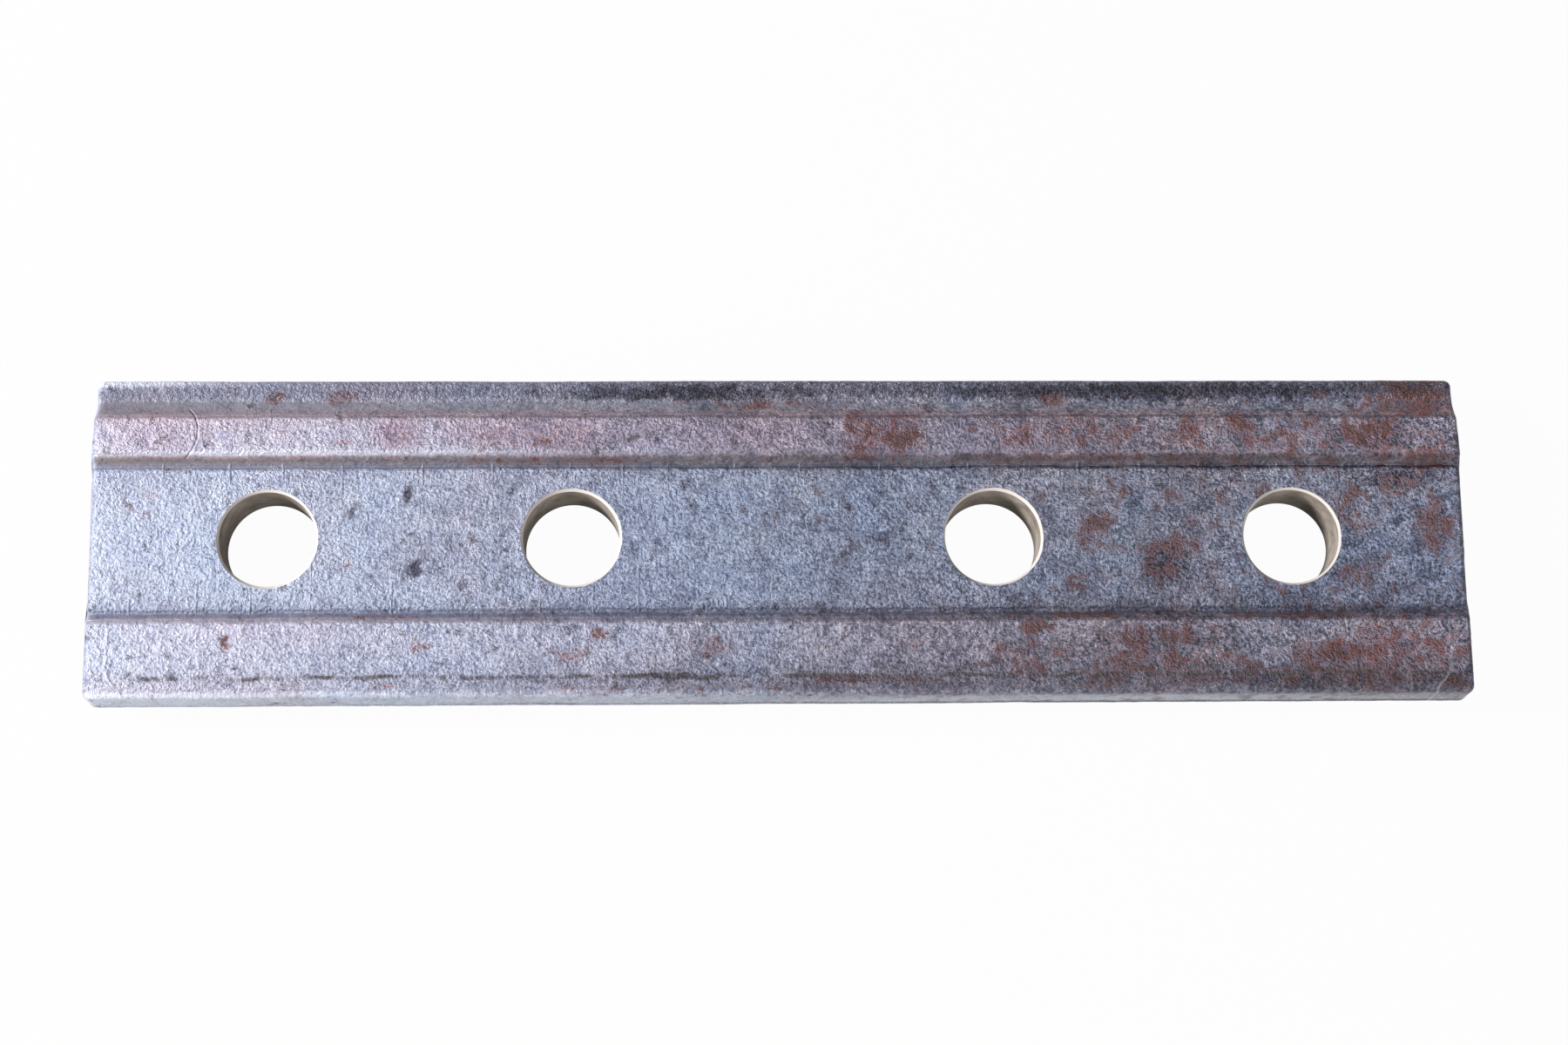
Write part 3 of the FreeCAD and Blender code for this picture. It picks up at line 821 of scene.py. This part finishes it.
    # Blotches and a slow drift from blue to rose, both stronger where the scale is worn.
    dark = add_node(tree, "ValToRGB", {0: blotches}, stops=(
        (0.36, "#aaaebd"), (0.47, "#dfe1ea"), (0.54, "#fbfbfd"), (0.64, "#ffffff"),
    ))
    blue = ((0.4, "#eff4ff"), (0.5, "#faf9fd"), (0.6, "#fff3f4"))
    hue = add_node(tree, "ValToRGB", {0: drifts}, stops=blue)
    for shade, least in ((dark, 0.15), (hue, 0.4)):
        strong = add_node(tree, "MapRange", {0: wear, 3: least, 4: 1.0})
        colour = add_node(tree, "Mix", {0: strong, 6: colour, 7: shade}, **MULTIPLY)

    # Rose oxide and painted highlights along the edges, even tints under the rest.
    tinted = add_node(tree, "Mix", {0: 1.0, 6: colour, 7: "#f0dade"}, **MULTIPLY)
    colour = add_node(tree, "Mix", {0: rose, 6: colour, 7: tinted}, **BLEND)
    colour = add_node(tree, "Mix", {0: pale_share, 6: colour, 7: pale}, **BLEND)

    # Bare dark scale, and over the deepest dent a painted shadow.
    dim = add_node(tree, "Mix", {0: bare, 6: "#ffffff", 7: "#827e8c"}, **BLEND)
    colour = add_node(tree, "Mix", {0: 1.0, 6: colour, 7: dim}, **MULTIPLY)

    # Thin rust: a greyish rose stain at its borders, dark maroon at its heart.
    veins = add_node(tree, "Math", {0: crumbs, 1: 0.8, 2: stains}, **SUM)
    veins = add_node(tree, "MapRange", {0: veins, 1: 0.7, 2: 1.1, 3: -0.4, 4: 2.0}, clamp=False)
    share = add_node(tree, "Math", {0: rust_share, 1: weather}, operation="ADD")
    share = add_node(tree, "Math", {0: share, 1: veins}, operation="MULTIPLY")
    share = add_node(tree, "Math", {0: lumps, 1: -0.5, 2: share}, **SUM)
    share = add_node(tree, "Math", {0: grit, 1: 0.3, 2: share}, **SUM)
    rusty = add_node(tree, "MapRange", {0: share, 1: 0.12, 2: 1.2})
    crust = add_node(tree, "ValToRGB", {0: rusty}, stops=(
        (0.0, "#ac9b9b"), (0.4, tuple(finish.rust)), (0.8, "#543639"), (1.0, "#3c282c"),
    ))
    # The rust and the flecks below take the same tints, painted shade and painted light included.
    crust = add_node(tree, "Mix", {0: 1.0, 6: crust, 7: tint}, **MULTIPLY)
    cover = add_node(tree, "MapRange", {0: rusty, 1: 0.02, 2: 0.42, 3: 0.0, 4: 0.9}, **SOFT)
    colour = add_node(tree, "Mix", {0: cover, 6: colour, 7: crust}, **BLEND)

    # Fresh orange rust in small flecks where the rust is thick.
    share = add_node(tree, "Math", {0: crumbs, 1: 0.8, 2: rusty}, **SUM)
    flecked = add_node(tree, "MapRange", {0: share, 1: 1.1, 2: 1.35, 3: 0.0, 4: 0.35}, **SOFT)
    fresh = add_node(tree, "Mix", {0: 1.0, 6: tuple(finish.fleck), 7: tint}, **MULTIPLY)
    colour = add_node(tree, "Mix", {0: flecked, 6: colour, 7: fresh}, **BLEND)

    # Lines that tools and the die left on the outer side, in their own colours.
    trim, ridges, arc, burr = (add_node(tree, "Math", {0: line, 1: outer}, operation="MULTIPLY") for line in (
        trimming_line(tree, x, y, lumps),
        die_ridges(tree, x, y, crumbs),
        curved_scratch(tree, here, x),
        shear_burr(tree, x, y, stains),
    ))
    # The ridges and the burr are drawn in the pale colour, a painted highlight along their raised edges.
    for line, share, drawn in ((trim, 0.95, "#3f383c"), (ridges, 0.12, pale), (burr, 0.15, pale)):
        seen = add_node(tree, "Math", {0: line, 1: share}, operation="MULTIPLY")
        colour = add_node(tree, "Mix", {0: seen, 6: colour, 7: drawn}, **BLEND)

    # Relief in millimetres: level scale with sharp-edged pits and crumbs, and flakes, chips and soft
    # lumps over it. It is deeper where the scale is worn. The lines come last, at full height.
    height = add_node(tree, "ValToRGB", {0: level}, stops=[
        (share, (rise, rise, rise, 1))
        for share, rise in ((0.0, 0.0), (0.35, 0.17), (0.5, 0.22), (0.68, 0.28), (1.0, 0.44))
    ])
    for pattern, rise in ((flakes, 1.0), (chips, 0.4), (lumps, 0.8)):
        height = add_node(tree, "Math", {0: pattern, 1: rise, 2: height}, **SUM)
    depth = add_node(tree, "ValToRGB", {0: up}, stops=along(RELIEF_BANDS))
    coarser = add_node(tree, "MapRange", {0: wear, 3: 1.1, 4: 2.7})
    depth = add_node(tree, "Math", {0: depth, 1: coarser}, operation="MULTIPLY")
    height = add_node(tree, "Math", {0: height, 1: depth}, operation="MULTIPLY")
    strokes = toe_strokes(tree, here, y)
    for line, rise in ((ridges, 0.3), (strokes, 0.5), (trim, -0.35), (arc, -0.4), (burr, 0.35)):
        height = add_node(tree, "Math", {0: line, 1: rise, 2: height}, **SUM)
    normal = add_node(tree, "Bump", {"Strength": 1.0, "Distance": MM, "Height": height})

    # The clean end is duller, high grains are smoother, and rust is rough and hardly metallic.
    dull = add_node(tree, "MapRange", {0: down, 3: 0.18, 4: 0.0})
    rough = add_node(tree, "MapRange", {0: level, 3: 0.52, 4: 0.25})
    rough = add_node(tree, "Math", {0: rough, 1: dull}, operation="ADD")
    rough = add_node(tree, "Math", {0: rusty, 1: 0.2, 2: rough}, operation="MULTIPLY_ADD", use_clamp=True)
    metal = add_node(tree, "MapRange", {0: rusty, 1: 0.0, 2: 0.8, 3: 0.45, 4: 0.2})
    metal = add_node(tree, "Math", {0: metal, 1: dull}, operation="SUBTRACT", use_clamp=True)
    shader = add_node(tree, "BsdfPrincipled", {
        "Base Color": colour, "Metallic": metal, "Roughness": rough, "Normal": normal,
    })
    add_node(tree, "OutputMaterial", {"Surface": shader}, out=None)
    return material


# The rings of the drill are this far apart, wider than in life so that they show, the stains in the
# bores are this wide, and the painted highlight on the upper countersinks starts between these levels.
RING_SPACING, BORE_STAIN = 0.6, 7
COUNTERSINK = (20.9, 21.3)


def bore_material(finish):
    """Drilled and countersunk steel: a dull warm brown-grey with fine rings, and a painted highlight
    at the upper countersinks."""
    material, tree = new_material("drilled_steel")
    here = add_node(tree, "TexCoord", out="Object")
    here = add_node(tree, "VectorMath", {0: here, "Scale": 1 / MM}, operation="SCALE")
    z = add_node(tree, "SeparateXYZ", {0: here}, out="Z")
    rings = add_node(tree, "VectorMath", {0: here, 1: (0.02, 0.02, 1.0)}, operation="MULTIPLY")
    rings = add_node(tree, "TexNoise", {"Vector": rings, "Scale": 1 / RING_SPACING, "Detail": 2.0})
    stain = add_node(tree, "TexNoise", {"Vector": here, "Scale": 1 / BORE_STAIN, "Detail": 4.0, "Roughness": 0.6})
    colour = add_node(tree, "ValToRGB", {0: stain}, stops=((0.3, "#5f564f"), (0.62, tuple(finish.bore))))
    # Painted highlight on the upper countersinks.
    countersink_highlight = add_node(tree, "MapRange", {0: z, 1: COUNTERSINK[0], 2: COUNTERSINK[1]})
    colour = add_node(tree, "Mix", {0: countersink_highlight, 6: colour, 7: "#b8b0aa"}, **BLEND)
    normal = add_node(tree, "Bump", {"Strength": 0.35, "Distance": 0.1 * MM, "Height": rings})
    rough = add_node(tree, "MapRange", {0: stain, 3: 0.85, 4: 0.7})
    shader = add_node(tree, "BsdfPrincipled", {
        "Base Color": colour, "Metallic": 0.0, "Roughness": rough, "Normal": normal,
        "Specular IOR Level": 0.15,
    })
    add_node(tree, "OutputMaterial", {"Surface": shader}, out=None)
    return material


# Rays that the stage shows itself to: from the camera, from a mirror and from a clear body.
RAYS = ("Is Camera Ray", "Is Glossy Ray", "Is Transmission Ray")


def floor_material():
    """Matt white card. Camera, mirror and clear rays see it near white, and it keeps soft shadows."""
    material, tree = new_material("matt_white_card")
    camera, glossy, clear = (add_node(tree, "LightPath", out=ray) for ray in RAYS)
    seen = add_node(tree, "Math", {0: camera, 1: glossy}, operation="MAXIMUM")
    seen = add_node(tree, "Math", {0: seen, 1: clear}, operation="MAXIMUM")
    part = add_node(tree, "Math", {0: seen, 1: 0.97}, operation="MULTIPLY")
    card = add_node(tree, "BsdfDiffuse", {"Color": "#a0a0a0"})
    white = add_node(tree, "Emission", {"Color": (1, 1, 1, 1), "Strength": 1.0})
    mix = add_node(tree, "MixShader", {0: part, 1: card, 2: white})
    add_node(tree, "OutputMaterial", {"Surface": mix}, out=None)
    return material


# ---- Operators ----


class OBJECT_OT_fishplate(bpy.types.Operator):
    """Roll, forge, drill and finish the fishplate"""

    bl_idname = "object.fishplate"
    bl_label = "Build Fishplate"

    def execute(self, context):
        sizes = context.scene.fishplate_sizes
        finish = context.scene.fishplate_finish
        bpy.ops.object.select_all(action="DESELECT")
        bar = roll_bar(sizes)
        bar.name = bar.data.name = PIECE
        bar.data.materials.append(scale_material(finish))
        forge_surface(bar)
        press_dents(bar)
        bore = bore_material(finish)
        drill_holes(bar, sizes, bore)
        if len(bar.data.materials) != 2:
            raise RuntimeError("the drilled walls have no material of their own")
        paint_marks(bar)
        bpy.ops.object.shade_smooth_by_angle(angle=SMOOTH_ANGLE)
        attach(bar, BODY)
        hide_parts(NODE)
        return {"FINISHED"}


# The stage, in metres: side of the floor, and name, place, size and power setting of each lamp.
FLOOR_SIZE = 8
LAMPS = (
    ("key_box", (-1.3, 0.12, 0.75), 0.30, "key_power"),
    ("front_panel", (0.5, -1.2, 0.55), 0.9, "fill_power"),
)
# The soft light from all sides, and the rise of a ray over which the white backdrop ends.
SOFT_LIGHT, SOFT_STRENGTH = (0.93, 0.96, 1.0, 1), 0.26
BACKDROP_TOP = (0.7, 0.4)


class OBJECT_OT_fishplate_stage(bpy.types.Operator):
    """Set up the floor, the soft light and the camera"""

    bl_idname = "object.fishplate_stage"
    bl_label = "Build Stage"

    def execute(self, context):
        studio = context.scene.fishplate_studio
        bpy.ops.object.select_all(action="DESELECT")
        bpy.ops.mesh.primitive_plane_add(size=FLOOR_SIZE, location=(0, 0, 0))
        floor = context.object
        floor.name = "studio_floor"
        floor.data.materials.append(floor_material())
        floor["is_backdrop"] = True

        middle = (CAD_LOW + CAD_HIGH) / 2
        for name, place, size, power in LAMPS:
            bpy.ops.object.light_add(type="AREA", location=place)
            lamp = context.object
            lamp.name = name
            lamp.data.size = size
            lamp.data.energy = getattr(studio, power)
            lamp.rotation_euler = (middle - lamp.location).to_track_quat("-Z", "Y").to_euler()

        world = bpy.data.worlds.new("soft_studio")
        world.use_nodes = True
        tree = world.node_tree
        tree.nodes.clear()
        # The camera sees a white backdrop. Mirror and clear rays see it too, as high as it stands.
        camera, glossy, clear = (add_node(tree, "LightPath", out=ray) for ray in RAYS)
        toward = add_node(tree, "TexCoord", out="Generated")
        rise = add_node(tree, "SeparateXYZ", {0: toward}, out="Z")
        backdrop = add_node(tree, "MapRange", {0: rise, 1: BACKDROP_TOP[0], 2: BACKDROP_TOP[1]}, **SOFT)
        seen = add_node(tree, "Math", {0: glossy, 1: clear}, operation="MAXIMUM")
        seen = add_node(tree, "Math", {0: seen, 1: backdrop}, operation="MULTIPLY")
        seen = add_node(tree, "Math", {0: seen, 1: camera}, operation="MAXIMUM")
        soft = add_node(tree, "Background", {"Color": SOFT_LIGHT, "Strength": SOFT_STRENGTH})
        white = add_node(tree, "Background", {"Color": (1, 1, 1, 1), "Strength": 1.0})
        mix = add_node(tree, "MixShader", {0: seen, 1: soft, 2: white})
        add_node(tree, "OutputWorld", {"Surface": mix}, out=None)
        context.scene.world = world

        bpy.ops.object.camera_add()
        camera = context.object
        camera.name = "front_camera"
        place, aim = Vector(studio.camera_place), Vector(studio.camera_aim)
        back = (place - aim).normalized()
        level = Vector((math.cos(studio.camera_roll), -math.sin(studio.camera_roll), 0))
        right = level - level.dot(back) * back
        right.normalize()
        camera.location = place
        camera.rotation_euler = Matrix((right, back.cross(right), back)).transposed().to_euler()
        camera.data.lens = studio.lens
        camera.data.shift_y = studio.rise
        context.scene.camera = camera
        context.scene.view_settings.view_transform = "Standard"
        return {"FINISHED"}


class VIEW3D_PT_fishplate(bpy.types.Panel):
    """Fishplate tools in the sidebar"""

    bl_label = "Fishplate"
    bl_space_type = "VIEW_3D"
    bl_region_type = "UI"
    bl_category = "Fishplate"

    def draw(self, context):
        for operator in (OBJECT_OT_fishplate, OBJECT_OT_fishplate_stage):
            self.layout.operator(operator.bl_idname)
        scene = context.scene
        for group in (scene.fishplate_sizes, scene.fishplate_finish, scene.fishplate_studio):
            box = self.layout.box()
            for name in group.bl_rna.properties.keys():
                if name not in ("rna_type", "name"):
                    box.prop(group, name)


CLASSES = (
    FishplateSizes,
    FishplateFinish,
    FishplateStudio,
    OBJECT_OT_fishplate,
    OBJECT_OT_fishplate_stage,
    VIEW3D_PT_fishplate,
)


def register():
    for cls in CLASSES:
        bpy.utils.register_class(cls)
    bpy.types.Scene.fishplate_sizes = PointerProperty(type=FishplateSizes)
    bpy.types.Scene.fishplate_finish = PointerProperty(type=FishplateFinish)
    bpy.types.Scene.fishplate_studio = PointerProperty(type=FishplateStudio)


def unregister():
    del bpy.types.Scene.fishplate_studio
    del bpy.types.Scene.fishplate_finish
    del bpy.types.Scene.fishplate_sizes
    for cls in reversed(CLASSES):
        bpy.utils.unregister_class(cls)


def main():
    """Register the add-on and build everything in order."""
    register()
    bpy.ops.object.fishplate()
    bpy.ops.object.fishplate_stage()


if __name__ == "__main__":
    main()
